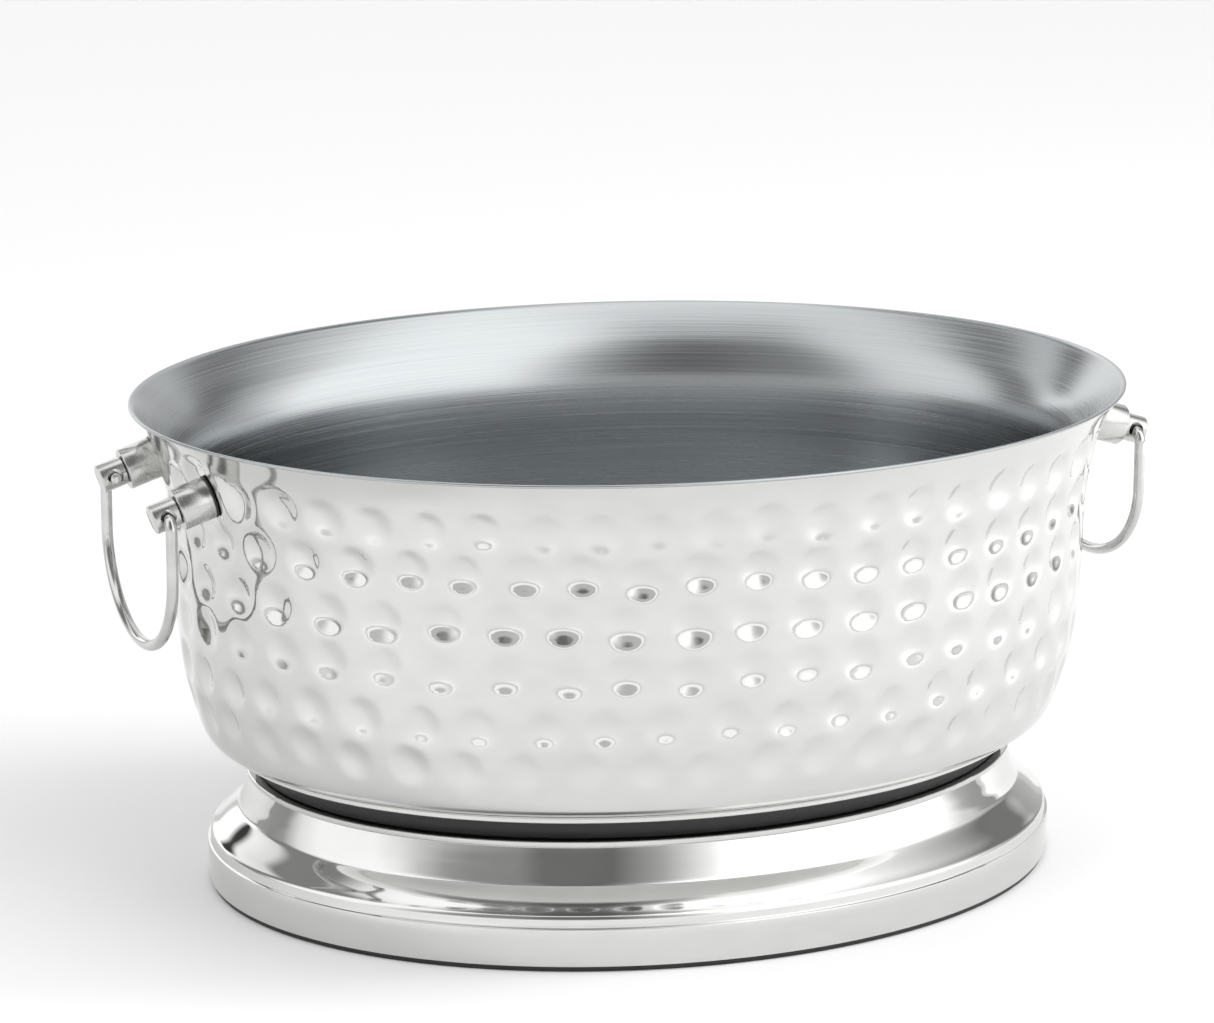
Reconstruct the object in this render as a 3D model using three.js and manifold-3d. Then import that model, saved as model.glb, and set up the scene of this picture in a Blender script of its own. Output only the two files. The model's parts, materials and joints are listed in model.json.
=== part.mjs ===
// Oval double-wall party tub of stainless steel, on a flared foot, with a swinging bail at each end.
// Millimetres, +Z up. The origin is on the surface that the tub stands on, under its centre.
// +X runs along the tub's length. Pieces that touch are drawn FIT apart.
import * as THREE from "three";
import { mergeVertices } from "three/addons/utils/BufferGeometryUtils.js";
import Module from "manifold-3d";

const wasm = await Module();
wasm.setup();

// ---- driving dimensions ----

const FIT = 0.3;

// Plan: each ring of the tub is an ellipse, this much shorter in half-width than in half-length.
const OVAL_SLIMMING = 34.1;
// Rings of a smaller half-length than this keep one proportion, down to the centre.
const OVAL_CORE = 140;
const OVAL_SEGMENTS = 48;

// Bowl, double walled. Its rings are given by half-length and height.
const SHEET = 0.8;
const BOWL_BOTTOM = 61.5;
const BOWL_LIP = 182.0;
const BOWL_BELLY = [
  [182.6, 64.2],
  [191.6, 69.2],
  [194.9, 76],
  [197.7, 85],
  [201.2, 99],
  [203.3, 115.5],
  [205.2, 154],
  [206.7, 172],
  [209.6, 186],
  [213.4, 200],
];
const OUTER_RIM = [220.4, 211.7];
const RIM = [222.0, 214.9];
// Inner wall: its depth behind the outer face, and the curves that join it to the rim and the floor.
const WALL_DEPTH = 10;
const WALL_START = 87;
const WALL_END = 190;
const RIM_CURVE = [
  [202.5, 197],
  [206.6, 204],
  [212.0, 209.3],
  [217.8, 212.8],
];
const FLOOR = 70.8;
const FLOOR_EDGE = 161;
const FLOOR_CURVE = [
  [175, 72.6],
  [182, 78],
];

// Foot: a spun skirt with a flat flange inside its top edge.
const FOOT_SHEET = 1.0;
const FOOT_EDGE = 2.2;
const FOOT_BAND = 192.0;
const FOOT_BAND_TOP = 18.9;
const FOOT_SHOULDER = [
  [191.0, 21.6],
  [188.8, 24.5],
  [178.5, 34.0],
  [176.2, 37.2],
  [175.0, 42.0],
  [174.4, 46.0],
];
const FOOT_TOP = 51.0;
const FLANGE_EDGE = 148;

// Rubber strip inside the foot's lower edge. The tub stands on it.
const TRIM_HEIGHT = 7;
const TRIM_WALL = 3.4;
const TRIM_CHAMFER = 0.6;

// Ring between the foot and the bowl.
const RING_OUTSIDE = 170.5;
const RING_INSIDE = 150;

// Fasteners that hold the foot: a threaded stud, a washer and a nut at each place.
const STUD_RING = 160;
const STUD_COUNT = 6;
const STUD_DIAMETER = 5;
const STUD_HOLE = 6;
const STUD_END = 42;
const WASHER_DIAMETER = 11;
const WASHER_THICKNESS = 1;
const NUT_ACROSS_FLATS = 8;
const FOOT_NUT_HEIGHT = 4;

// Handle hardware. Each post points outward and down along its own axis, level with the hinge line.
const POST_TILT = THREE.MathUtils.degToRad(17.5);
const PIVOT_X = 225.2;
const PIVOT_Y = 39.9;
const PIVOT_Z = 185.0;
const PIN_DROP = 0.4;
const POST_DIAMETER = 12.5;
const POST_TIP = 5.7;
const POST_BASE = -5.4;
const POST_CHAMFER = 0.5;
const CROSS_HOLE = 7.0;
const SHANK_DIAMETER = 5;
const SHANK_HOLE = 5.8;
const SHANK_END = -26.6;
const COLLAR_DIAMETER = 18.2;
const COLLAR_LENGTH = 13.6;
const COLLAR_CHAMFER = 0.6;
const PAD_DIAMETER = 18.8;
const PAD_THICKNESS = 1.3;
const JAM_NUT_HEIGHT = 2.7;
// Flat seat pressed in the outer wall under each post: sunk on one side, raised on the other.
const SEAT_RADIUS = 11;
const SEAT_SKIRT = 7;

// Bails, bent from round rod.
const ROD_DIAMETER = 5;
const LEG_Y = 49.8;
const PIN_END_Y = 32;
const BEND_RADIUS = 4.6;
const LEG_LENGTH = 25;
const LOOP_DEPTH = 38.5;
const ROD_SIDES = 8;
const ROD_STEPS = 60;

// Facets around the small round pieces.
const FINE_FACETS = 20;
const COARSE_FACETS = 12;

// Shank stack, counted outwards along the post's axis from the hinge line.
const COLLAR_TOP = POST_BASE - FIT;
const COLLAR_BOTTOM = COLLAR_TOP - COLLAR_LENGTH;
const PAD_TOP = COLLAR_BOTTOM - FIT;
const SEAT = PAD_TOP - PAD_THICKNESS - FIT;
const BACK_WASHER_TOP = SEAT - SHEET - FIT;
const JAM_NUT_TOP = BACK_WASHER_TOP - WASHER_THICKNESS - FIT;

// ---- materials ----

const metal = (color, roughness) => new THREE.MeshStandardMaterial({ color, roughness, metalness: 1 });
const rubber = (color) => new THREE.MeshStandardMaterial({ color, roughness: 0.75, metalness: 0 });

const polishedSteel = () => metal(0xd6d8d3, 0.08);
const satinSteel = () => metal(0xb4b7b6, 0.35);
const brushedSteel = () => metal(0xc4c4be, 0.28);
const zincPlate = () => metal(0xb9bcc0, 0.4);
const blackRubber = () => rubber(0x141414);

// ---- solids ----

// Keeps only the positions, with shared vertices merged.
function weld(geometry) {
  const bare = geometry.clone();
  bare.deleteAttribute("normal");
  bare.deleteAttribute("uv");
  return mergeVertices(bare, 1e-3);
}

function solidOf(geometry) {
  const welded = weld(geometry);
  const vertProperties = new Float32Array(welded.attributes.position.array);
  const triVerts = new Uint32Array(welded.index.array);
  return new wasm.Manifold(new wasm.Mesh({ numProp: 3, vertProperties, triVerts }));
}

function geometryOf(solid) {
  const mesh = solid.getMesh();
  const geometry = new THREE.BufferGeometry();
  geometry.setAttribute("position", new THREE.BufferAttribute(mesh.vertProperties, 3));
  geometry.setIndex(new THREE.BufferAttribute(mesh.triVerts, 1));
  geometry.computeVertexNormals();
  return geometry;
}

// The geometry with every cutter taken out of it.
function cut(geometry, cutters) {
  const left = cutters.reduce((solid, cutter) => solid.subtract(solidOf(cutter)), solidOf(geometry));
  return geometryOf(left);
}

// The geometry with every addition joined to it.
function joined(geometry, additions) {
  const whole = additions.reduce((solid, addition) => solid.add(solidOf(addition)), solidOf(geometry));
  return geometryOf(whole);
}

const points = (pairs) => pairs.map(([r, z]) => new THREE.Vector2(r, z));

// Turns a closed profile of [radius, height] pairs about +Z.
function turned(pairs, segments) {
  const lathe = new THREE.LatheGeometry(points(pairs), segments);
  lathe.rotateX(Math.PI / 2);
  return lathe;
}

// Half-width of the ring with this half-length.
function halfWidth(halfLength) {
  const core = Math.max(halfLength, OVAL_CORE);
  return halfLength * (1 - OVAL_SLIMMING / core);
}

// Turns a closed profile of [half-length, height] pairs, and slims every ring to its ellipse.
function ovalTurned(pairs) {
  const oval = turned(pairs, OVAL_SEGMENTS);
  const position = oval.attributes.position;
  for (let i = 0; i < position.count; i++) {
    const ring = Math.hypot(position.getX(i), position.getY(i));
    if (ring > 0) position.setY(i, (position.getY(i) * halfWidth(ring)) / ring);
  }
  return oval;
}

// The same line moved sideways by a distance, to its left as it runs from first to last.
function offsetLine(pairs, distance) {
  const line = points(pairs);
  const normals = line.slice(1).map((p, i) => {
    const run = p.clone().sub(line[i]).normalize();
    return new THREE.Vector2(-run.y, run.x);
  });
  return line.map((p, i) => {
    const before = normals[Math.max(i - 1, 0)];
    const after = normals[Math.min(i, normals.length - 1)];
    const middle = before.clone().add(after).normalize();
    const reach = distance / middle.dot(after);
    return [p.x + middle.x * reach, p.y + middle.y * reach];
  });
}

const closed = (pairs) => [...pairs, pairs[0]];

// Closed profile of a sheet: its outer face, then the inner face back to the start.
function sheetProfile(outerFace, thickness) {
  return closed([...outerFace, ...offsetLine(outerFace, thickness).reverse()]);
}

// A ring with square edges, between two radii and two heights.
function ringProfile(inside, outside, bottom, top) {
  return closed([
    [inside, bottom],
    [outside, bottom],
    [outside, top],
    [inside, top],
  ]);
}

function rod(diameter, bottom, top, segments) {
  const cylinder = new THREE.CylinderGeometry(diameter / 2, diameter / 2, top - bottom, segments);
  cylinder.rotateX(Math.PI / 2);
  cylinder.translate(0, 0, (top + bottom) / 2);
  return cylinder;
}

function washer(hole, diameter, bottom, top, segments) {
  return turned(ringProfile(hole / 2, diameter / 2, bottom, top), segments);
}

// Six-sided nut with a plain bore.
function nut(acrossFlats, hole, bottom, top) {
  const cornerRadius = acrossFlats / Math.sqrt(3);
  const corners = Array.from({ length: 6 }, (_, i) => {
    const angle = (i * Math.PI) / 3;
    return new THREE.Vector2(cornerRadius * Math.cos(angle), cornerRadius * Math.sin(angle));
  });
  const outline = new THREE.Shape(corners);
  outline.holes.push(new THREE.Path().absarc(0, 0, hole / 2, 0, 2 * Math.PI, true));
  const body = new THREE.ExtrudeGeometry(outline, {
    depth: top - bottom,
    bevelEnabled: false,
    curveSegments: COARSE_FACETS / 2,
  });
  body.translate(0, 0, bottom);
  return body;
}

function part(name, geometry, material) {
  const mesh = new THREE.Mesh(geometry, material);
  mesh.name = name;
  return mesh;
}

// ---- handle stations ----

const STATIONS = [
  { name: "left_front", side: -1, y: -PIVOT_Y },
  { name: "left_rear", side: -1, y: PIVOT_Y },
  { name: "right_front", side: 1, y: -PIVOT_Y },
  { name: "right_rear", side: 1, y: PIVOT_Y },
];

// A group whose local +Z runs outward along the post's axis, with its origin on the hinge line.
function stationGroup({ side, y }) {
  const group = new THREE.Group();
  group.position.set(side * PIVOT_X, y, PIVOT_Z);
  group.rotation.y = side * (Math.PI / 2 + POST_TILT);
  group.updateMatrixWorld();
  return group;
}

// The given geometry of a station, moved into the tub's frame.
function atStation(station, geometry) {
  return geometry.clone().applyMatrix4(stationGroup(station).matrixWorld);
}

// ---- bowl ----

const bowlOuterFace = () => [
  [0, BOWL_BOTTOM],
  [BOWL_LIP, BOWL_BOTTOM],
  ...BOWL_BELLY,
  OUTER_RIM,
];

// Everything inside a face that runs from the axis to the rim.
function filled(face) {
  const [, top] = face[face.length - 1];
  return ovalTurned([...face, [0, top]]);
}

// A round block at each post, from a depth behind its seat.
const atPosts = (radius, bottom, top) =>
  STATIONS.map((station) => atStation(station, rod(2 * radius, bottom, top, COARSE_FACETS)));

// Outer wall, with a flat seat and a shank hole pressed at each post.
function outerShell() {
  const outerFace = bowlOuterFace();
  const innerFace = offsetLine(outerFace, SHEET);
  innerFace[0][0] = 0;
  // The hollow reaches past the rim, so that the shell is open at the top.
  innerFace.push([innerFace[innerFace.length - 1][0], OUTER_RIM[1] + SHEET]);
  // The seats' cutters reach well clear of the wall.
  const clear = SEAT + POST_DIAMETER * 2;
  const raised = joined(filled(outerFace), atPosts(SEAT_RADIUS, SEAT - SEAT_SKIRT, SEAT));
  const raisedHollow = joined(
    filled(innerFace),
    atPosts(SEAT_RADIUS - SHEET, SEAT - SEAT_SKIRT, SEAT - SHEET),
  );
  const hollow = cut(raisedHollow, atPosts(SEAT_RADIUS + SHEET, SEAT - SHEET, clear));
  const seats = atPosts(SEAT_RADIUS, SEAT, clear);
  const holes = atPosts(SHANK_HOLE / 2, SHANK_END, 0);
  return cut(raised, [...seats, hollow, ...holes]);
}

// Inner wall: it follows the outer one at WALL_DEPTH, and its lip closes over the outer rim.
function innerShell() {
  const wall = offsetLine(BOWL_BELLY, WALL_DEPTH).filter(([, z]) => z > WALL_START && z < WALL_END);
  const face = [
    [0, FLOOR],
    [FLOOR_EDGE, FLOOR],
    ...FLOOR_CURVE,
    ...wall,
    ...RIM_CURVE,
    RIM,
  ];
  const back = offsetLine(face, -SHEET);
  back[0][0] = 0;
  return ovalTurned([...back, ...face.slice().reverse()]);
}

// ---- foot ----

// Where stud number i stands.
function studPlace(i) {
  const angle = (i * 2 * Math.PI) / STUD_COUNT;
  return new THREE.Vector2(STUD_RING * Math.cos(angle), halfWidth(STUD_RING) * Math.sin(angle));
}

// Places a copy of the geometry at each stud.
function atStuds(geometry) {
  return Array.from({ length: STUD_COUNT }, (_, i) => {
    const place = studPlace(i);
    return geometry.clone().translate(place.x, place.y, 0);
  });
}

const studHoles = () => atStuds(rod(STUD_HOLE, FOOT_TOP - 2 * FOOT_SHEET, BOWL_BOTTOM, COARSE_FACETS));

function foot() {
  const outerFace = [
    [FOOT_BAND, FOOT_EDGE],
    [FOOT_BAND, FOOT_BAND_TOP],
    ...FOOT_SHOULDER,
    [FOOT_SHOULDER[FOOT_SHOULDER.length - 1][0], FOOT_TOP],
    [FLANGE_EDGE, FOOT_TOP],
  ];
  return cut(ovalTurned(sheetProfile(outerFace, FOOT_SHEET)), studHoles());
}

// It stands lower than the skirt that it is pressed into.
function footTrim() {
  const outside = FOOT_BAND - FOOT_SHEET - FIT;
  const inside = outside - TRIM_WALL;
  return ovalTurned(
    closed([
      [inside, 0],
      [outside - TRIM_CHAMFER, 0],
      [outside, TRIM_CHAMFER],
      [outside, TRIM_HEIGHT],
      [inside, TRIM_HEIGHT],
    ]),
  );
}

function spacerRing() {
  const ring = ringProfile(RING_INSIDE, RING_OUTSIDE, FOOT_TOP + FIT, BOWL_BOTTOM - FIT);
  return cut(ovalTurned(ring), studHoles());
}

// ---- handle hardware, each in its station's frame ----

function collar() {
  const radius = COLLAR_DIAMETER / 2;
  const profile = closed([
    [SHANK_HOLE / 2, COLLAR_BOTTOM],
    [radius - COLLAR_CHAMFER, COLLAR_BOTTOM],
    [radius, COLLAR_BOTTOM + COLLAR_CHAMFER],
    [radius, COLLAR_TOP - COLLAR_CHAMFER],
    [radius - COLLAR_CHAMFER, COLLAR_TOP],
    [SHANK_HOLE / 2, COLLAR_TOP],
  ]);
  return turned(profile, FINE_FACETS);
}

// Drilled post with a threaded shank behind it, in one piece.
function post() {
  const radius = POST_DIAMETER / 2;
  const profile = [
    [0, SHANK_END],
    [SHANK_DIAMETER / 2, SHANK_END],
    [SHANK_DIAMETER / 2, POST_BASE],
    [radius, POST_BASE],
    [radius, POST_TIP - POST_CHAMFER],
    [radius - POST_CHAMFER, POST_TIP],
    [0, POST_TIP],
  ];
  const crossHole = rod(CROSS_HOLE, -POST_DIAMETER, POST_DIAMETER, COARSE_FACETS).rotateX(Math.PI / 2);
  return cut(turned(profile, FINE_FACETS), [crossHole]);
}

// ---- bail ----

// Half of the rod's centre line, from its pin's end to the bottom of the loop, at +Y.
function bailPath() {
  const bendCentreY = LEG_Y - BEND_RADIUS;
  const line = (y0, z0, y1, z1) =>
    new THREE.LineCurve3(new THREE.Vector3(0, y0, z0), new THREE.Vector3(0, y1, z1));
  const arc = (y, z, ry, rz, from, to) => {
    const flat = new THREE.EllipseCurve(y, z, ry, rz, from, to, from > to);
    const curve = new THREE.Curve();
    curve.getPoint = (t) => {
      const p = flat.getPoint(t);
      return new THREE.Vector3(0, p.x, p.y);
    };
    return curve;
  };
  const path = new THREE.CurvePath();
  path.add(line(PIN_END_Y, 0, bendCentreY, 0));
  path.add(arc(bendCentreY, -BEND_RADIUS, BEND_RADIUS, BEND_RADIUS, Math.PI / 2, 0));
  path.add(line(LEG_Y, -BEND_RADIUS, LEG_Y, -LEG_LENGTH));
  path.add(arc(0, -LEG_LENGTH, LEG_Y, LOOP_DEPTH, 0, -Math.PI));
  path.add(line(-LEG_Y, -LEG_LENGTH, -LEG_Y, -BEND_RADIUS));
  path.add(arc(-bendCentreY, -BEND_RADIUS, BEND_RADIUS, BEND_RADIUS, Math.PI, Math.PI / 2));
  path.add(line(-bendCentreY, 0, -PIN_END_Y, 0));
  return path;
}

function bail() {
  const section = new THREE.Shape(
    Array.from({ length: ROD_SIDES }, (_, i) => {
      const angle = (i * 2 * Math.PI) / ROD_SIDES;
      return new THREE.Vector2(Math.cos(angle), Math.sin(angle)).multiplyScalar(ROD_DIAMETER / 2);
    }),
  );
  return new THREE.ExtrudeGeometry(section, { steps: ROD_STEPS, extrudePath: bailPath() });
}

// ---- assembly ----

const tub = new THREE.Group();

tub.add(part("outer_shell", outerShell(), polishedSteel()));
tub.add(part("inner_shell", innerShell(), satinSteel()));
tub.add(part("foot", foot(), polishedSteel()));
tub.add(part("foot_edge_trim", footTrim(), blackRubber()));
tub.add(part("waist_ring", spacerRing(), blackRubber()));

const flangeUnderside = FOOT_TOP - FOOT_SHEET;
const footWasherTop = flangeUnderside - FIT;
const footNutTop = footWasherTop - WASHER_THICKNESS - FIT;
for (let i = 0; i < STUD_COUNT; i++) {
  const place = studPlace(i);
  const station = new THREE.Group();
  station.position.set(place.x, place.y, 0);
  station.add(
    part(`foot_stud_${i + 1}`, rod(STUD_DIAMETER, STUD_END, BOWL_BOTTOM - FIT, COARSE_FACETS), zincPlate()),
    part(
      `foot_washer_${i + 1}`,
      washer(STUD_HOLE, WASHER_DIAMETER, footWasherTop - WASHER_THICKNESS, footWasherTop, COARSE_FACETS),
      zincPlate(),
    ),
    part(
      `foot_nut_${i + 1}`,
      nut(NUT_ACROSS_FLATS, STUD_HOLE, footNutTop - FOOT_NUT_HEIGHT, footNutTop),
      zincPlate(),
    ),
  );
  tub.add(station);
}

for (const station of STATIONS) {
  const group = stationGroup(station);
  const pad = washer(SHANK_HOLE, PAD_DIAMETER, PAD_TOP - PAD_THICKNESS, PAD_TOP, FINE_FACETS);
  const backWasher = washer(
    SHANK_HOLE,
    WASHER_DIAMETER,
    BACK_WASHER_TOP - WASHER_THICKNESS,
    BACK_WASHER_TOP,
    COARSE_FACETS,
  );
  const jamNut = nut(NUT_ACROSS_FLATS, SHANK_HOLE, JAM_NUT_TOP - JAM_NUT_HEIGHT, JAM_NUT_TOP);
  group.add(
    part(`${station.name}_post`, post(), brushedSteel()),
    part(`${station.name}_collar`, collar(), brushedSteel()),
    part(`${station.name}_pad`, pad, blackRubber()),
    part(`${station.name}_back_washer`, backWasher, zincPlate()),
    part(`${station.name}_jam_nut`, jamNut, zincPlate()),
  );
  tub.add(group);
}

for (const [name, side] of [
  ["left_bail", -1],
  ["right_bail", 1],
]) {
  const mesh = part(name, bail(), polishedSteel());
  mesh.position.set(side * PIVOT_X, 0, PIVOT_Z - PIN_DROP);
  tub.add(mesh);
}

export default tub;
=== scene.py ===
"""Looks of the oval party tub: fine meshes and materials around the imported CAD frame."""
import json
import math
import random

import bpy
import numpy as np
from mathutils import Matrix, Vector


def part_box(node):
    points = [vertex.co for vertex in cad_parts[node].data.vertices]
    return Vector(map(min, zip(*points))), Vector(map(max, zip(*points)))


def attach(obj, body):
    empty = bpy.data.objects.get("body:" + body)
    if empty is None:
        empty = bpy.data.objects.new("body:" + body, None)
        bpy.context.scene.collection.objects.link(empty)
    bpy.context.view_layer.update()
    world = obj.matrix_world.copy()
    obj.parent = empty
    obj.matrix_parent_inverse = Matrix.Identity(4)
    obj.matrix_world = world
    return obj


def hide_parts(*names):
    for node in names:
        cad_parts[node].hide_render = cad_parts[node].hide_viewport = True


MM = 0.001

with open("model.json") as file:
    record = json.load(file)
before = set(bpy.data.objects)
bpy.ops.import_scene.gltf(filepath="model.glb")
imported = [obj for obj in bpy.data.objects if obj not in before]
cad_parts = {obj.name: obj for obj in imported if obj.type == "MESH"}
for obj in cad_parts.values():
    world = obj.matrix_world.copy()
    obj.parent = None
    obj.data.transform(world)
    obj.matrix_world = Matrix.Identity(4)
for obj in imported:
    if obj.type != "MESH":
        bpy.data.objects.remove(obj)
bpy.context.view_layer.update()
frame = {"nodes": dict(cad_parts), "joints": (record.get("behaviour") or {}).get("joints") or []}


# ---------------------------------------------------------------- sizes from the frame

def corner(node, side, axis):
    """One coordinate of a CAD node's box: side 0 is its low corner, 1 its high one."""
    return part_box(node)[side][axis]


RIM = corner("inner_shell", 1, 0)
OVAL_SLIMMING = RIM - corner("inner_shell", 1, 1)
OVAL_CORE = 140 * MM
TUB_TOP = corner("inner_shell", 1, 2)
BOWL_BOTTOM = corner("outer_shell", 0, 2)
FLOOR_UNDERSIDE = corner("inner_shell", 0, 2)
FOOT_BAND = corner("foot", 1, 0)
FOOT_EDGE = corner("foot", 0, 2)
FOOT_TOP = corner("foot", 1, 2)
TRIM_OUTSIDE = corner("foot_edge_trim", 1, 0)
TRIM_HEIGHT = corner("foot_edge_trim", 1, 2)
RING_OUTSIDE = corner("waist_ring", 1, 0)
RING_BOTTOM = corner("waist_ring", 0, 2)
RING_TOP = corner("waist_ring", 1, 2)
SHEET = 0.8 * MM  # of the bowl's two shells

PIVOTS = {j["child"]: Vector(j["pos_m"]) for j in frame["joints"]}


# ---------------------------------------------------------------- mesh helpers

def half_width(half_length):
    """Half-width of the tub's ring of this half-length."""
    return half_length * (1 - OVAL_SLIMMING / np.maximum(half_length, OVAL_CORE))


MEASURING_RING = 208 * MM


def even_angles(count):
    """Angles that divide an oval of the bowl into equal lengths, and the length around it."""
    fine = np.linspace(0, 2 * math.pi, 7201)
    x = MEASURING_RING * np.cos(fine)
    y = half_width(MEASURING_RING) * np.sin(fine)
    length = np.concatenate([[0], np.cumsum(np.hypot(np.diff(x), np.diff(y)))])
    wanted = np.arange(count) / count * length[-1]
    return np.interp(wanted, length, fine), length[-1]


def spline(points, count):
    """Natural cubic spline through points, spaced evenly along its length."""
    p = np.array(points, float)
    t = np.concatenate([[0], np.cumsum(np.hypot(*np.diff(p, axis=0).T))])
    h = np.diff(t)
    n = len(p)
    a = np.eye(n)
    rhs = np.zeros((n, 2))
    for i in range(1, n - 1):
        a[i, i - 1 : i + 2] = h[i - 1], 2 * (h[i - 1] + h[i]), h[i]
        rhs[i] = 6 * ((p[i + 1] - p[i]) / h[i] - (p[i] - p[i - 1]) / h[i - 1])
    m = np.linalg.solve(a, rhs)

    def at(s):
        i = np.clip(np.searchsorted(t, s, side="right") - 1, 0, n - 2)
        u, v, w = (t[i + 1] - s)[:, None], (s - t[i])[:, None], h[i][:, None]
        bend = m[i] * u**3 / (6 * w) + m[i + 1] * v**3 / (6 * w)
        return bend + (p[i] / w - m[i] * w / 6) * u + (p[i + 1] / w - m[i + 1] * w / 6) * v

    return at(np.linspace(0, t[-1], count))


def arc(centre, radius, start, end, count):
    """Points of a round arc, its angles in degrees."""
    a = np.radians(np.linspace(start, end, count))
    return np.stack([centre[0] + radius * np.cos(a), centre[1] + radius * np.sin(a)], 1)


def line(p0, p1, count=2):
    return np.linspace(np.array(p0, float), np.array(p1, float), count)


def offset(points, distance):
    """The same line moved to the left of its run."""
    p = np.array(points, float)
    run = np.gradient(p, axis=0)
    run /= np.linalg.norm(run, axis=1)[:, None]
    return p + np.stack([-run[:, 1], run[:, 0]], 1) * distance


def smooth(mesh, angle):
    """Smooth shading, with creases where faces meet at more than this angle in degrees."""
    mesh.polygons.foreach_set("use_smooth", [True] * len(mesh.polygons))
    mesh.set_sharp_from_angle(angle=math.radians(angle))


def mesh_object(name, verts, faces, smooth_angle):
    """An object of these points and faces, smooth up to this angle in degrees."""
    mesh = bpy.data.meshes.new(name)
    mesh.from_pydata([tuple(v) for v in verts], [], faces)
    mesh.validate()
    mesh.update()
    smooth(mesh, smooth_angle)
    piece = bpy.data.objects.new(name, mesh)
    bpy.context.scene.collection.objects.link(piece)
    return piece


def ring_faces(first, second, count):
    """Quads between two rings that start at these vertex numbers."""
    return [
        (first + i, first + (i + 1) % count, second + (i + 1) % count, second + i)
        for i in range(count)
    ]


def oval_points(profile, angles):
    """A grid of points: one row for each profile point, one column for each angle."""
    a = profile[:, 0][:, None]
    b = half_width(a)
    x = a * np.cos(angles)[None]
    y = b * np.sin(angles)[None]
    z = np.repeat(profile[:, 1][:, None], len(angles), axis=1)
    return np.stack([x, y, z], 2)


def revolved(name, profile, columns, place, closed_loop=False):
    """A solid of revolution from a profile of (radius, height) that starts and ends on the
    axis, or closes on itself. place moves it from the profile's frame into the tub's."""
    angles = np.arange(columns) / columns * 2 * math.pi
    verts, rows = [], []
    for r, z in profile:
        if r < 1e-9:
            rows.append((len(verts), 1))
            verts.append((0, 0, z))
        else:
            rows.append((len(verts), columns))
            verts.extend((r * math.cos(a), r * math.sin(a), z) for a in angles)
    if closed_loop:
        rows.append(rows[0])
    verts = [place @ Vector(v) for v in verts]
    return mesh_object(name, verts, join_rows(rows, columns), 35)


def join_rows(rows, columns):
    """Faces between rows, each given by its first vertex number and its number of points."""
    faces = []
    for (first, n), (second, m) in zip(rows, rows[1:]):
        if n == 1:
            faces += [(first, second + (i + 1) % columns, second + i) for i in range(columns)]
        elif m == 1:
            faces += [(first + i, first + (i + 1) % columns, second) for i in range(columns)]
        else:
            faces += ring_faces(first, second, columns)
    return faces


def oval_shell(name, profile, columns, smooth_angle, closed_loop=False, move=None):
    """As revolved, for the tub's ovals. move may shift the whole grid of points."""
    angles, _ = even_angles(columns)
    profile = np.array(profile, float)
    rows, verts = [], []
    grid = oval_points(profile, angles)
    if move is not None:
        grid = move(grid, profile, angles)
    for (r, _), row in zip(profile, grid):
        if r < 1e-9:
            rows.append((len(verts), 1))
            verts.append(row[0])
        else:
            rows.append((len(verts), columns))
            verts.extend(row)
    if closed_loop:
        rows.append(rows[0])
    return mesh_object(name, verts, join_rows(rows, columns), smooth_angle)


# A rod's domed end: distance from its tip, in half radii, and share of the full radius.
DOME = [(0.0, 0.35), (0.06, 0.66), (0.2, 0.87), (0.45, 0.97)]


def rod(name, path, radius, sides):
    """A round rod along a path of points, with domed ends."""
    start, end = path[0], path[-1]
    into = (path[1] - start).normalized()
    out = (end - path[-2]).normalized()
    head = [start + into * radius * d * 0.5 for d, _ in DOME]
    tail = [end - out * radius * d * 0.5 for d, _ in reversed(DOME)]
    head_radii = [radius * k for _, k in DOME]
    radii = head_radii + [radius] * (len(path) - 2) + head_radii[::-1]
    path = head + path[1:-1] + tail
    verts = []
    side = Vector((1, 0, 0))
    for i, p in enumerate(path):
        run = (path[min(i + 1, len(path) - 1)] - path[max(i - 1, 0)]).normalized()
        side = (side - run * side.dot(run)).normalized()
        up = run.cross(side)
        for k in range(sides):
            angle = 2 * math.pi * k / sides
            verts.append(p + (side * math.cos(angle) + up * math.sin(angle)) * radii[i])
    rows = [(i * sides, sides) for i in range(len(path))]
    faces = join_rows(rows, sides)
    faces.append(tuple(reversed(range(sides))))
    faces.append(tuple(range(len(verts) - sides, len(verts))))
    return mesh_object(name, verts, faces, 50)


def finish_piece(piece, body, material, node_name):
    """Gives a piece its material and the body it moves with, and hides the CAD node it stands for.
    """
    piece.data.materials.append(material)
    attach(piece, body)
    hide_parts(node_name)


# ---------------------------------------------------------------- materials

def new_material(name, color, metallic, roughness):
    material = bpy.data.materials.new(name)
    material.use_nodes = True
    shader = material.node_tree.nodes["Principled BSDF"]
    shader.inputs["Base Color"].default_value = (*color, 1)
    shader.inputs["Metallic"].default_value = metallic
    shader.inputs["Roughness"].default_value = roughness
    return material, material.node_tree, shader


def node(tree, kind, **settings):
    made = tree.nodes.new("ShaderNode" + kind)
    for key, value in settings.items():
        setattr(made, key, value)
    return made


def map_range(tree, source, low, high, out_low, out_high):
    """Stretches low..high to out_low..out_high, and clamps."""
    made = node(tree, "MapRange")
    made.inputs["From Min"].default_value = low
    made.inputs["From Max"].default_value = high
    made.inputs["To Min"].default_value = out_low
    made.inputs["To Max"].default_value = out_high
    tree.links.new(source, made.inputs["Value"])
    return made.outputs["Result"]


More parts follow.
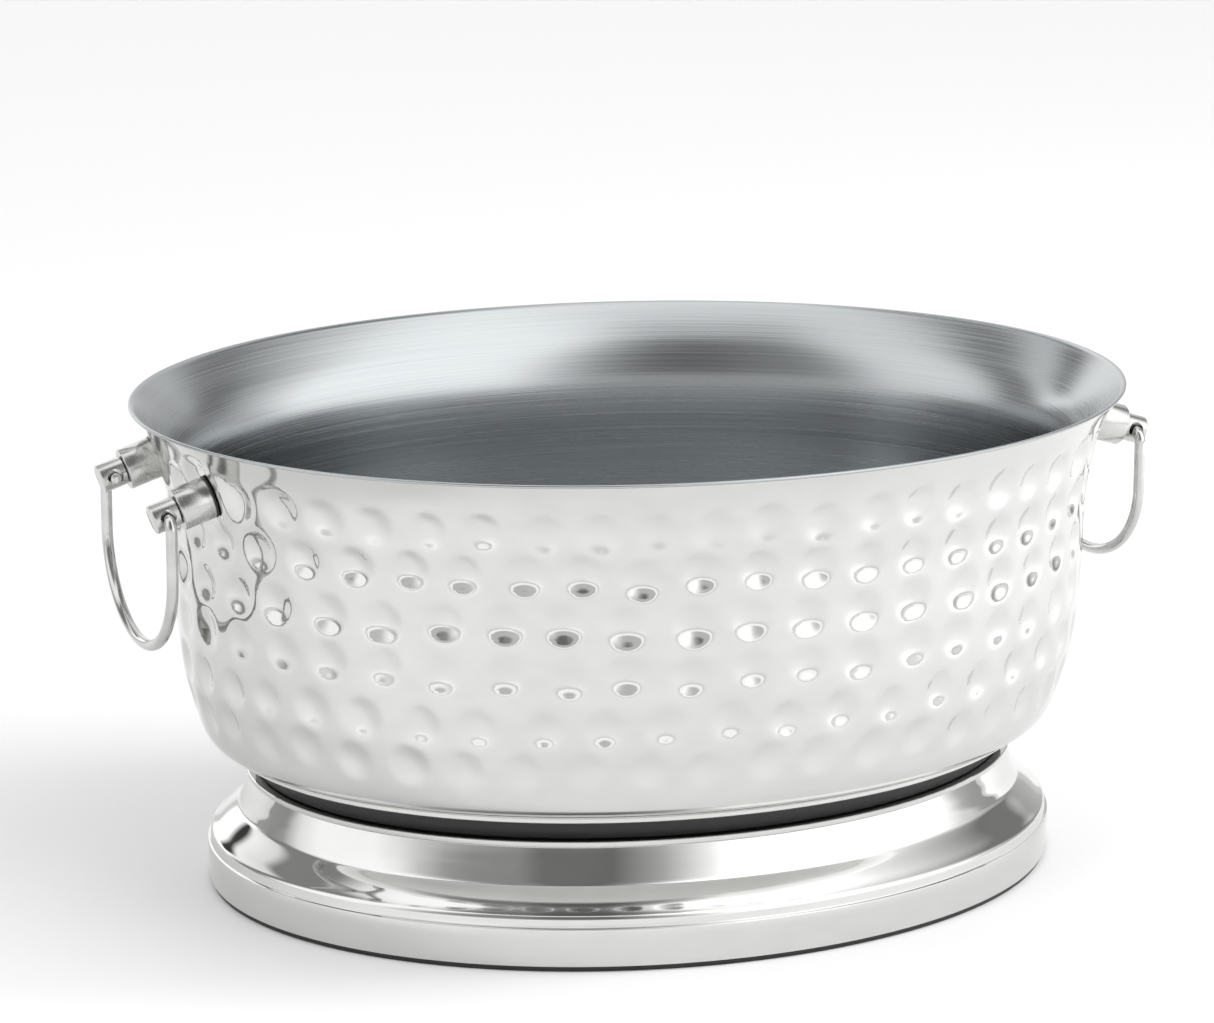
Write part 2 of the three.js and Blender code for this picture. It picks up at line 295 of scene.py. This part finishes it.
def noise(tree, scale, stretch=(1, 1, 1), detail=3.0):
    """Noise over the object's own coordinates."""
    coords = node(tree, "TexCoord")
    mapping = node(tree, "Mapping")
    mapping.inputs["Scale"].default_value = stretch
    texture = node(tree, "TexNoise")
    texture.inputs["Scale"].default_value = scale
    texture.inputs["Detail"].default_value = detail
    tree.links.new(coords.outputs["Object"], mapping.inputs["Vector"])
    tree.links.new(mapping.outputs["Vector"], texture.inputs["Vector"])
    return texture.outputs["Fac"]


def bump(tree, shader, height, strength, distance):
    made = node(tree, "Bump")
    made.inputs["Strength"].default_value = strength
    made.inputs["Distance"].default_value = distance
    tree.links.new(height, made.inputs["Height"])
    tree.links.new(made.outputs["Normal"], shader.inputs["Normal"])


def scratches(tree, scale, stretch, low, high):
    """Sparse fine lines: the bright tips of a stretched noise."""
    return map_range(tree, noise(tree, scale, stretch, detail=5.0), low, high, 0.0, 1.0)


def add(tree, first, second, weight):
    """first + second * weight"""
    made = node(tree, "Math", operation="MULTIPLY_ADD")
    tree.links.new(second, made.inputs[0])
    made.inputs[1].default_value = weight
    tree.links.new(first, made.inputs[2])
    return made.outputs["Value"]


def tinted(tree, shader, source, dark, light):
    """Colour that drifts between two close tones."""
    made = node(tree, "Mix", data_type="RGBA")
    made.inputs["A"].default_value = (*dark, 1)
    made.inputs["B"].default_value = (*light, 1)
    tree.links.new(source, made.inputs["Factor"])
    tree.links.new(made.outputs["Result"], shader.inputs["Base Color"])


def polished_steel(name, dark, light, roughness):
    """Mirror-polished sheet: buffing haze, hairline scratches and a slight waviness."""
    material, tree, shader = new_material(name, light, 1.0, roughness)
    haze = map_range(tree, noise(tree, 45, (1, 1, 2.5)), 0.3, 0.7, 0.0, 1.0)
    tinted(tree, shader, haze, dark, light)
    rough = map_range(tree, haze, 0.0, 1.0, roughness * 0.7, roughness * 1.5)
    hairlines = scratches(tree, 90, (1, 1, 14), 0.68, 0.78)
    tree.links.new(add(tree, rough, hairlines, 0.05), shader.inputs["Roughness"])
    bump(tree, shader, noise(tree, 30, detail=1.0), 0.1, 0.3 * MM)
    return material


def satin_steel(name, dark, light, roughness):
    """Sheet brushed around the tub, with a few deeper lines."""
    material, tree, shader = new_material(name, light, 1.0, roughness)
    grain = noise(tree, 6, (1, 1, 260), detail=6.0)
    tone = map_range(tree, grain, 0.3, 0.7, 0.0, 1.0)
    tinted(tree, shader, tone, dark, light)
    rough = map_range(tree, tone, 0.0, 1.0, roughness * 0.8, roughness * 1.2)
    lines = scratches(tree, 12, (1, 1, 120), 0.66, 0.8)
    tree.links.new(add(tree, rough, lines, 0.1), shader.inputs["Roughness"])
    bump(tree, shader, grain, 0.25, 0.1 * MM)
    return material


def along_post(tree):
    """Height along a post's axis, the same at both ends of the tub."""
    coords = node(tree, "TexCoord")
    split = node(tree, "SeparateXYZ")
    tree.links.new(coords.outputs["Object"], split.inputs["Vector"])
    outward = node(tree, "Math", operation="ABSOLUTE")
    tree.links.new(split.outputs["X"], outward.inputs[0])
    run = node(tree, "Math", operation="MULTIPLY")
    tree.links.new(outward.outputs["Value"], run.inputs[0])
    run.inputs[1].default_value = math.cos(POST_TILT)
    return add(tree, run.outputs["Value"], split.outputs["Z"], -math.sin(POST_TILT))


def turned_steel(name, dark, light, roughness):
    """Lathe-turned steel: fine rings around the posts' axes, and a faint speckle."""
    material, tree, shader = new_material(name, light, 1.0, roughness)
    rings = node(tree, "TexNoise", noise_dimensions="1D")
    rings.inputs["Scale"].default_value = 2600
    rings.inputs["Detail"].default_value = 4.0
    tree.links.new(along_post(tree), rings.inputs["W"])
    tone = map_range(tree, rings.outputs["Fac"], 0.3, 0.7, 0.0, 1.0)
    tinted(tree, shader, tone, dark, light)
    rough = map_range(tree, tone, 0.0, 1.0, roughness * 0.75, roughness * 1.25)
    speckle = scratches(tree, 900, (1, 1, 1), 0.6, 0.75)
    tree.links.new(add(tree, rough, speckle, 0.08), shader.inputs["Roughness"])
    bump(tree, shader, rings.outputs["Fac"], 0.3, 0.05 * MM)
    return material


def rubber(name):
    material, tree, shader = new_material(name, (0.012, 0.012, 0.012), 0.0, 0.42)
    speck = noise(tree, 1800, detail=5.0)
    tree.links.new(map_range(tree, speck, 0.3, 0.7, 0.34, 0.55), shader.inputs["Roughness"])
    bump(tree, shader, speck, 0.2, 0.05 * MM)
    return material


def zinc(name):
    material, tree, shader = new_material(name, (0.60, 0.62, 0.64), 1.0, 0.34)
    cloud = noise(tree, 420, detail=4.0)
    tree.links.new(map_range(tree, cloud, 0.3, 0.7, 0.26, 0.46), shader.inputs["Roughness"])
    bump(tree, shader, cloud, 0.12, 0.04 * MM)
    return material


POST_TILT = math.radians(17.5)  # how far the posts point down from level

HAMMERED = polished_steel("hammered_steel", (0.63, 0.635, 0.62), (0.665, 0.665, 0.65), 0.06)
FOOT_STEEL = polished_steel("foot_steel", (0.65, 0.65, 0.64), (0.68, 0.68, 0.67), 0.045)
ROD_STEEL = polished_steel("rod_steel", (0.52, 0.52, 0.51), (0.60, 0.60, 0.59), 0.1)
# The inner bowl's colour is darker than its satin steel alone. The darkening is painted shade,
# standing in for the shade that bottles and ice cast on its wall; they are not built.
INNER_STEEL_PAINTED_SHADE = satin_steel("inner_steel_painted_shade", (0.40, 0.42, 0.43), (0.48, 0.50, 0.505), 0.24)
HARDWARE = turned_steel("turned_steel", (0.50, 0.50, 0.485), (0.62, 0.62, 0.605), 0.22)
RUBBER = rubber("black_rubber")
ZINC = zinc("zinc_plate")


# ---------------------------------------------------------------- handle stations

POST_Y = (corner("right_rear_post", 1, 1) + corner("right_rear_post", 0, 1)) / 2
PIN_DROP = 0.4 * MM  # of the bails' pins, from the centre of the wider cross holes
CROSS_HOLE_Z = PIVOTS["right_handle"].z + PIN_DROP

# Along a post's axis, outward from the centre of its cross hole.
SEAT = -21.2 * MM
COLLAR_TOP = -5.7 * MM
COLLAR_BOTTOM = -19.95 * MM
SHANK_END = -26.6 * MM

STATIONS = {
    f"{end}_{row}": (side, y)
    for end, side in (("left", -1), ("right", 1))
    for row, y in (("front", -POST_Y), ("rear", POST_Y))
}


def station_matrix(side, y):
    """A post's own frame: +Z outward along its axis, the origin on the cross hole's centre."""
    pivot = PIVOTS["right_handle"].x
    turn = Matrix.Rotation(side * (math.pi / 2 + POST_TILT), 4, "Y")
    return Matrix.Translation((side * pivot, y, CROSS_HOLE_Z)) @ turn


# ---------------------------------------------------------------- bowl

BOWL_LIP = 182.0 * MM
LIP_HEIGHT = 1.9 * MM

# The outer wall's half-length and height, from the lip to where the rim's flare starts.
BELLY = np.array([
    [181.6, 64.6],
    [187.6, 65.9],
    [191.6, 69.2],
    [194.9, 76],
    [197.6, 85],
    [201.2, 99],
    [203.3, 115.5],
    [204.3, 129],
    [205.2, 154],
    [206.6, 172],
    [209.5, 186],
    [213.3, 200],
]) * MM

# The inner wall, which runs this far inside the outer one up to the flare.
WALL_DEPTH = 10 * MM
FLOOR_EDGE = 161 * MM
FLOOR_CURVE = np.array([[161, 70.8], [175, 72.6], [182, 78], [188.07, 87.7]]) * MM
RIM_CURVE = np.array([[204.6, 197], [208.6, 201.8], [212.8, 206.4], [217.2, 210.9]]) * MM
RIM_BEAD = 0.7 * MM

# Hammer marks: each row's height and depth in mm, its number of marks, and its shift in marks.
DIMPLE_ROWS = [
    (192, 2.4, 52, 0.54),
    (172.5, 2.9, 49, 0.22),
    (151, 2.65, 46, 0.88),
    (130, 2.15, 46, 0.87),
    (108, 2.6, 46, 0.5),
    (89, 2.1, 46, 0.2),
]
DIMPLE_RADIUS = 10 * MM

# The seat round a post is flat out to the first distance from its axis and gone by the second.
# It leaves everything deeper than the third alone, such as the wall at the far end.
SEAT_FLAT = 10.5 * MM
SEAT_REACH = 20 * MM
SEAT_DEPTH = 60 * MM


def dimples(length):
    """(along, height, radius, depth) of each hammer mark, along being the way round the bowl."""
    draw = random.Random(7)
    marks = []
    for z, depth, count, shift in DIMPLE_ROWS:
        for i in range(count):
            marks.append((
                (i + shift + draw.uniform(-0.06, 0.06)) / count * length,
                (z + draw.uniform(-1.4, 1.4)) * MM,
                DIMPLE_RADIUS * draw.uniform(0.93, 1.05),
                depth * draw.uniform(0.88, 1.08) * MM,
            ))
    return marks


def hammer(grid, profile, angles):
    """Presses the hammer marks and the flat seats of the posts into the bowl's wall."""
    along_u = np.roll(grid, -1, axis=1) - np.roll(grid, 1, axis=1)
    along_v = np.gradient(grid, axis=0)
    normal = np.cross(along_u, along_v)
    size = np.linalg.norm(normal, axis=2, keepdims=True)
    normal = normal / np.maximum(size, 1e-12)
    # Both faces of the sheet move the same way, towards the tub's axis.
    facing = np.sum(normal[:, :, :2] * grid[:, :, :2], axis=2, keepdims=True)
    normal = np.where(facing < 0, -normal, normal)
    _, length = even_angles(len(angles))
    along = np.arange(len(angles))[None] / len(angles) * length
    height = profile[:, 1][:, None]
    wall = (profile[:, 1] > BELLY[1, 1])[:, None]
    depth = np.zeros(grid.shape[:2])
    for s, z, radius, deep in dimples(length):
        gap = np.abs(along - s)
        gap = np.minimum(gap, length - gap)
        r = np.hypot(gap, height - z) / radius
        depth += np.where(r < 1, (1 - np.minimum(r, 1) ** 2) ** 1.4, 0) * deep
    moved = grid - normal * (depth * wall)[:, :, None]
    for side, y in STATIONS.values():
        place = station_matrix(side, y)
        origin = np.array(place.translation)
        axis = np.array(place.to_3x3() @ Vector((0, 0, 1)))
        reach = moved - origin
        w = reach @ axis
        radial = np.linalg.norm(reach - w[..., None] * axis, axis=2)
        share = np.clip((SEAT_REACH - radial) / (SEAT_REACH - SEAT_FLAT), 0, 1)
        share = share * share * (3 - 2 * share) * (w > -SEAT_DEPTH) * wall
        moved = moved + axis * ((SEAT - w) * share)[..., None]
    return moved


def build_outer_shell():
    """The hammered wall, its lip and its flat bottom, one sheet thick."""
    edge = (RIM - 1.0 * MM, TUB_TOP - 1.7 * MM)
    wall = spline([*BELLY, edge], 104)
    lip = [
        (BOWL_LIP - 0.5 * MM, BOWL_BOTTOM),
        (BOWL_LIP, BOWL_BOTTOM + 0.4 * MM),
        (BOWL_LIP, BOWL_BOTTOM + LIP_HEIGHT),
        (BOWL_LIP - 0.9 * MM, BOWL_BOTTOM + LIP_HEIGHT + 0.4 * MM),
    ]
    bottom = line((0, BOWL_BOTTOM), (BOWL_LIP - 1.5 * MM, BOWL_BOTTOM), 7)
    face = np.concatenate([bottom, lip, wall])
    back_wall = offset(wall, SHEET)[::-4]
    back_bottom = line((BOWL_LIP - 1.5 * MM, BOWL_BOTTOM + SHEET), (0, BOWL_BOTTOM + SHEET), 5)
    profile = np.concatenate([face, back_wall, back_bottom])
    piece = oval_shell("outer_wall", profile, 640, 38, move=hammer)
    finish_piece(piece, "tub", HAMMERED, "outer_shell")


def build_inner_shell():
    """The satin bowl: flat floor, straight wall, flare, and a bead around the edge."""
    wall = [p for p in offset(BELLY, WALL_DEPTH) if 90 * MM < p[1] < 192 * MM]
    top = FLOOR_UNDERSIDE + SHEET
    floor = line((0, top), (FLOOR_EDGE, top), 8)
    edge = (RIM - 1.4 * MM, TUB_TOP - 0.35 * MM)
    face = spline([*FLOOR_CURVE, *wall, *RIM_CURVE, edge], 96)
    bead = arc((RIM - RIM_BEAD, TUB_TOP - 0.9 * MM), RIM_BEAD, 100, -80, 9)
    face = np.concatenate([floor[:-1], face])
    back = offset(face, -SHEET)[::-1]
    back[-1, 0] = 0
    profile = np.concatenate([face, bead, back])[::-1]
    piece = oval_shell("inner_bowl", profile, 420, 50)
    finish_piece(piece, "tub", INNER_STEEL_PAINTED_SHADE, "inner_shell")


# ---------------------------------------------------------------- foot

# The foot's face from the crease above its band, over the shoulder and up the neck.
FOOT_FACE = np.array([
    [191.0, 19.2],
    [190.6, 21.8],
    [190.4, 22.8],
    [190.0, 23.5],
    [189.2, 24.2],
    [185.9, 26.95],
    [182.0, 30.2],
    [178.9, 32.8],
    [178.0, 33.7],
    [177.1, 35.5],
    [176.1, 38.1],
    [174.9, 41.6],
    [173.8, 44.9],
    [172.8, 48.0],
]) * MM
FLANGE_EDGE = 148 * MM


def build_foot():
    """One sheet: the band, the shoulder and neck, a rolled lip, and a flange turned inward."""
    band_top = 18.6 * MM
    strip = 2.2 * MM
    neck = 174.0 * MM
    sheet = 1.0 * MM
    shoulder = spline(FOOT_FACE, 100)
    face = np.concatenate([
        [(FOOT_BAND - 0.8 * MM, FOOT_EDGE), (FOOT_BAND - 0.45 * MM, FOOT_EDGE + 0.25 * MM)],
        line((FOOT_BAND - 0.35 * MM, FOOT_EDGE + 0.8 * MM), (FOOT_BAND, band_top - 0.5 * MM), 5),
        [(FOOT_BAND - 0.15 * MM, band_top), (FOOT_BAND - 0.9 * MM, band_top + 0.3 * MM)],
        shoulder,
        [(neck + 0.1 * MM, FOOT_TOP - strip), (neck + 0.3 * MM, FOOT_TOP - strip + 0.3 * MM)],
        [(neck + 0.3 * MM, FOOT_TOP - 0.3 * MM), (neck, FOOT_TOP)],
        line((neck - 1 * MM, FOOT_TOP), (FLANGE_EDGE, FOOT_TOP), 4),
    ])
    inside = np.concatenate([
        [(FLANGE_EDGE, FOOT_TOP - sheet), (neck - 2 * MM, FOOT_TOP - sheet)],
        offset(shoulder, sheet)[::-3],
        [(FOOT_BAND - sheet, band_top - 1.2 * MM), (FOOT_BAND - sheet, FOOT_EDGE)],
    ])
    profile = np.concatenate([face, inside])
    piece = oval_shell("foot_skirt", profile, 420, 38, closed_loop=True)
    finish_piece(piece, "tub", FOOT_STEEL, "foot")


def build_foot_trim():
    """Rubber strip inside the skirt, standing proud below it, with rounded lower edges."""
    wall = 3.4 * MM
    inside = TRIM_OUTSIDE - wall
    profile = [
        (inside, 0.5 * MM),
        (inside + 0.15 * MM, 0.15 * MM),
        (inside + 0.5 * MM, 0),
        (TRIM_OUTSIDE - 0.7 * MM, 0),
        (TRIM_OUTSIDE - 0.2 * MM, 0.2 * MM),
        (TRIM_OUTSIDE, 0.7 * MM),
        (TRIM_OUTSIDE, TRIM_HEIGHT - 0.3 * MM),
        (TRIM_OUTSIDE - 0.3 * MM, TRIM_HEIGHT),
        (inside + 0.3 * MM, TRIM_HEIGHT),
        (inside, TRIM_HEIGHT - 0.3 * MM),
    ]
    piece = oval_shell("foot_trim", profile, 420, 50, closed_loop=True)
    finish_piece(piece, "tub", RUBBER, "foot_edge_trim")


def build_waist_ring():
    """Flat rubber ring between the bowl and the foot, with chamfered outer edges."""
    inside = 150 * MM
    chamfer = 0.6 * MM
    profile = [
        (inside, RING_BOTTOM),
        (RING_OUTSIDE - chamfer, RING_BOTTOM),
        (RING_OUTSIDE, RING_BOTTOM + chamfer),
        (RING_OUTSIDE, RING_TOP - chamfer),
        (RING_OUTSIDE - chamfer, RING_TOP),
        (inside, RING_TOP),
    ]
    piece = oval_shell("waist_band", profile, 384, 50, closed_loop=True)
    finish_piece(piece, "tub", RUBBER, "waist_ring")


# ---------------------------------------------------------------- handles

SHANK_HOLE = 2.9 * MM


def build_station(name, side, y):
    """The collar, the rubber pad under it, and the post through both."""
    place = station_matrix(side, y)
    radius = 9.1 * MM
    chamfer = 0.45 * MM
    collar = [
        (SHANK_HOLE, COLLAR_BOTTOM),
        (radius - chamfer, COLLAR_BOTTOM),
        *arc((radius - chamfer, COLLAR_BOTTOM + chamfer), chamfer, -60, -10, 3),
        *arc((radius - chamfer, COLLAR_TOP - chamfer), chamfer, 10, 60, 3),
        (radius - chamfer, COLLAR_TOP),
        (SHANK_HOLE, COLLAR_TOP),
    ]
    piece = revolved(f"{name}_sleeve", collar, 96, place, closed_loop=True)
    finish_piece(piece, "tub", HARDWARE, f"{name}_collar")

    pad_radius = 9.3 * MM
    pad_bottom = SEAT + 0.3 * MM
    pad_top = COLLAR_BOTTOM - 0.05 * MM
    pad = [
        (SHANK_HOLE, pad_bottom),
        (pad_radius - 0.3 * MM, pad_bottom),
        (pad_radius, pad_bottom + 0.4 * MM),
        (pad_radius, pad_top - 0.4 * MM),
        (pad_radius - 0.3 * MM, pad_top),
        (SHANK_HOLE, pad_top),
    ]
    piece = revolved(f"{name}_gasket", pad, 72, place, closed_loop=True)
    finish_piece(piece, "tub", RUBBER, f"{name}_pad")

    build_post(name, place)


def build_post(name, place):
    """Stub with a shank behind it. A boolean cuts its cross hole."""
    radius = 6.25 * MM
    base = -5.4 * MM
    tip = 5.7 * MM
    chamfer = 0.45 * MM
    shank = 2.5 * MM
    hole_radius = 3.5 * MM
    hole_reach = 9 * MM
    profile = [
        (0, SHANK_END),
        (shank - 0.5 * MM, SHANK_END),
        (shank, SHANK_END + 0.5 * MM),
        (shank, base),
        (radius - 0.3 * MM, base),
        (radius, base + 0.3 * MM),
        *arc((radius - chamfer, tip - chamfer), chamfer, 0, 90, 4),
        (0, tip),
    ]
    piece = revolved(f"{name}_stub", profile, 96, place)
    hole = [(0, -hole_reach), (hole_radius, -hole_reach), (hole_radius, hole_reach), (0, hole_reach)]
    cutter = revolved("hole_cutter", hole, 48, place @ Matrix.Rotation(math.pi / 2, 4, "X"))
    cut = piece.modifiers.new("cross_hole", "BOOLEAN")
    cut.object = cutter
    cut.solver = "EXACT"
    bake_modifiers(piece)
    bpy.data.objects.remove(cutter)
    finish_piece(piece, "tub", HARDWARE, f"{name}_post")


def bake_modifiers(piece):
    """Replaces the piece's mesh by what its modifiers make of it."""
    evaluated = piece.evaluated_get(bpy.context.evaluated_depsgraph_get())
    mesh = bpy.data.meshes.new_from_object(evaluated)
    piece.modifiers.clear()
    piece.data = mesh
    smooth(mesh, 30)


ROD_RADIUS = 2.5 * MM


def build_bail(body, name, node_name):
    """A rod with its pins turned inward, two straight legs, and half an oval below them."""
    pivot = PIVOTS[body]
    leg_y = 49.8 * MM
    pin_y = 32 * MM
    bend = 4.6 * MM
    leg = 25 * MM
    depth = 38.5 * MM
    half = [
        *line((pin_y, 0), (leg_y - bend, 0), 5),
        *arc((leg_y - bend, -bend), bend, 90, 0, 9)[1:],
        *line((leg_y, -bend), (leg_y, -leg), 6)[1:],
    ]
    angles = np.radians(np.linspace(0, -180, 61))[1:-1]
    loop = np.stack([leg_y * np.cos(angles), -leg + depth * np.sin(angles)], 1)
    flat = half + list(loop) + [(-y, z) for y, z in reversed(half)]
    path = [pivot + Vector((0, y, z)) for y, z in flat]
    piece = rod(name, path, ROD_RADIUS, 32)
    finish_piece(piece, body, ROD_STEEL, node_name)


# ---------------------------------------------------------------- stage

VIEW_AZIMUTH = math.radians(-21.767)
VIEW_ELEVATION = math.radians(13.636)
VIEW_DISTANCE = 2.0210
VIEW_CENTRE = Vector((0, 0, 0.111))
AIM_RIGHT = -0.01112
AIM_UP = 0.04504
LENS = 135.11


def build_stage():
    """The pale floor."""
    bpy.ops.mesh.primitive_plane_add(size=14, location=(0, 0, 0))
    floor = bpy.context.object
    floor.name = "floor"
    material, tree, shader = new_material("floor_paper", (0.86, 0.86, 0.86), 0.0, 0.9)
    bump(tree, shader, noise(tree, 700, detail=4.0), 0.05, 0.1 * MM)
    floor.data.materials.append(material)


# Brightness of the room all around, by degrees to the right of the camera's side: at the
# level of the tub, just above it, and higher up.
ROOM_LOW = [
    (-180, 1.0), (-130, 0.45), (-108, 0.36), (-95, 0.42), (-83, 0.5), (-64, 0.9), (-47, 1.05),
    (-33, 1.35), (60, 1.45), (68, 1.1), (90, 1.1), (104, 0.77), (116, 0.49), (130, 0.4), (180, 1.0),
]
ROOM_MIDDLE = [
    (-180, 0.9), (-165, 1.2), (-150, 1.7), (-133, 1.6), (-126, 0.6), (-119, 0.35), (-108, 0.45),
    (-98, 1.1), (-88, 1.35), (-62, 1.35), (-53, 1.1), (-45, 0.85), (-37, 0.75), (-15, 0.72),
    (10, 0.7), (20, 0.75), (28, 1.0), (34, 1.4), (40, 1.8), (98, 1.8), (110, 1.0), (125, 0.6),
    (140, 0.4), (180, 0.9),
]
ROOM_HIGH = [
    (-180, 0.9), (-165, 1.4), (-152, 1.5), (-149, 0.05), (-142, 0.05), (-139, 1.3), (-128, 1.0),
    (-124, 0.3),
    (-109, 0.3), (-99, 1.15), (-88, 1.4), (-62, 1.4), (-53, 1.2), (-45, 0.77), (-37, 0.46),
    (-28, 0.36), (-15, 0.34), (-9, 0.22), (10, 0.2), (16, 0.36), (22, 0.53), (28, 0.9),
    (34, 1.3), (40, 1.9), (98, 1.9), (110, 1.2), (122, 0.7), (132, 0.25), (142, 0.25),
    (148, 0.9), (180, 0.9),
]
ROOM_TOP = 1.5
ROOM_PEAK = 2.0

# Heights, as the sine of the elevation, where one zone blends into the next.
LOW_TO_MIDDLE = (0.05, 0.08)
MIDDLE_TO_HIGH = (0.24, 0.3)
HIGH_TO_TOP = (0.93, 0.97)


def room_ring(tree, turn, stops):
    """Grey ramp around the room, as a share of ROOM_PEAK."""
    ramp = node(tree, "ValToRGB")
    elements = ramp.color_ramp.elements
    while len(elements) > 1:
        elements.remove(elements[-1])
    for i, (degrees, light) in enumerate(stops):
        place = elements[0] if i == 0 else elements.new(degrees / 360 + 0.5)
        place.position = degrees / 360 + 0.5
        place.color = (*[light / ROOM_PEAK] * 3, 1)
    tree.links.new(turn, ramp.inputs["Fac"])
    return ramp.outputs["Color"]


def blend(tree, factor, low, high):
    """From low to high, which may be a socket or one grey."""
    made = node(tree, "Mix", data_type="RGBA")
    tree.links.new(factor, made.inputs["Factor"])
    tree.links.new(low, made.inputs["A"])
    if isinstance(high, float):
        made.inputs["B"].default_value = (high, high, high, 1)
    else:
        tree.links.new(high, made.inputs["B"])
    return made.outputs["Result"]


def build_world():
    """A soft studio: pale walls at the sides, a dim room in front and a white ceiling."""
    world = bpy.data.worlds.new("studio")
    bpy.context.scene.world = world
    world.use_nodes = True
    tree = world.node_tree
    background = tree.nodes["Background"]
    coords = node(tree, "TexCoord")
    level = node(tree, "Mapping", vector_type="POINT")
    level.inputs["Rotation"].default_value = (0, 0, -VIEW_AZIMUTH)
    tree.links.new(coords.outputs["Generated"], level.inputs["Vector"])
    split = node(tree, "SeparateXYZ")
    tree.links.new(level.outputs["Vector"], split.inputs["Vector"])
    front = node(tree, "Math", operation="MULTIPLY")
    front.inputs[1].default_value = -1
    tree.links.new(split.outputs["Y"], front.inputs[0])
    angle = node(tree, "Math", operation="ARCTAN2")
    tree.links.new(split.outputs["X"], angle.inputs[0])
    tree.links.new(front.outputs["Value"], angle.inputs[1])
    turn = map_range(tree, angle.outputs["Value"], -math.pi, math.pi, 0.0, 1.0)
    low = room_ring(tree, turn, ROOM_LOW)
    middle = room_ring(tree, turn, ROOM_MIDDLE)
    high = room_ring(tree, turn, ROOM_HIGH)
    step = map_range(tree, split.outputs["Z"], *LOW_TO_MIDDLE, 0.0, 1.0)
    rise = map_range(tree, split.outputs["Z"], *MIDDLE_TO_HIGH, 0.0, 1.0)
    crown = map_range(tree, split.outputs["Z"], *HIGH_TO_TOP, 0.0, 1.0)
    walls = blend(tree, rise, blend(tree, step, low, middle), high)
    room = blend(tree, crown, walls, ROOM_TOP / ROOM_PEAK)
    tree.links.new(room, background.inputs["Color"])
    background.inputs["Strength"].default_value = ROOM_PEAK


def area_light(name, place, target, size, power):
    """A soft round lamp that mirrors don't show."""
    data = bpy.data.lights.new(name, "AREA")
    data.shape = "DISK"
    data.size = size
    data.energy = power
    lamp = bpy.data.objects.new(name, data)
    lamp.location = place
    lamp.rotation_mode = "QUATERNION"
    lamp.rotation_quaternion = (Vector(target) - Vector(place)).to_track_quat("-Z", "Y")
    lamp.visible_glossy = False
    bpy.context.scene.collection.objects.link(lamp)


def build_lights():
    area_light("right_light", (1.8, -0.5, 0.9), (0.95, -0.3, 0), 0.8, 22)
    area_light("left_light", (-1.6, -0.9, 1.1), (-0.8, -0.4, 0), 0.8, 9)


def build_camera():
    """The photo's view: from the front left, a little above the rim."""
    back = Vector((
        math.sin(VIEW_AZIMUTH) * math.cos(VIEW_ELEVATION),
        -math.cos(VIEW_AZIMUTH) * math.cos(VIEW_ELEVATION),
        math.sin(VIEW_ELEVATION),
    ))
    right = Vector((math.cos(VIEW_AZIMUTH), math.sin(VIEW_AZIMUTH), 0))
    up = back.cross(right)
    aim = VIEW_CENTRE + right * AIM_RIGHT + up * AIM_UP
    data = bpy.data.cameras.new("camera")
    data.sensor_width = 36
    data.lens = LENS
    camera = bpy.data.objects.new("camera", data)
    camera.location = aim + back * VIEW_DISTANCE
    camera.rotation_mode = "QUATERNION"
    camera.rotation_quaternion = (-back).to_track_quat("-Z", "Y")
    bpy.context.scene.collection.objects.link(camera)
    bpy.context.scene.camera = camera


build_camera()
build_stage()
build_world()
build_lights()
bpy.context.scene.view_settings.view_transform = "Standard"

build_outer_shell()
build_inner_shell()
build_foot()
build_foot_trim()
build_waist_ring()
for station, (side, y) in STATIONS.items():
    build_station(station, side, y)
build_bail("left_handle", "left_loop", "left_bail")
build_bail("right_handle", "right_loop", "right_bail")

# The fasteners keep their CAD shapes.
for node_name, cad in frame["nodes"].items():
    if node_name.startswith("foot_") or node_name.endswith(("_washer", "_nut")):
        cad.data.materials.clear()
        cad.data.materials.append(ZINC)
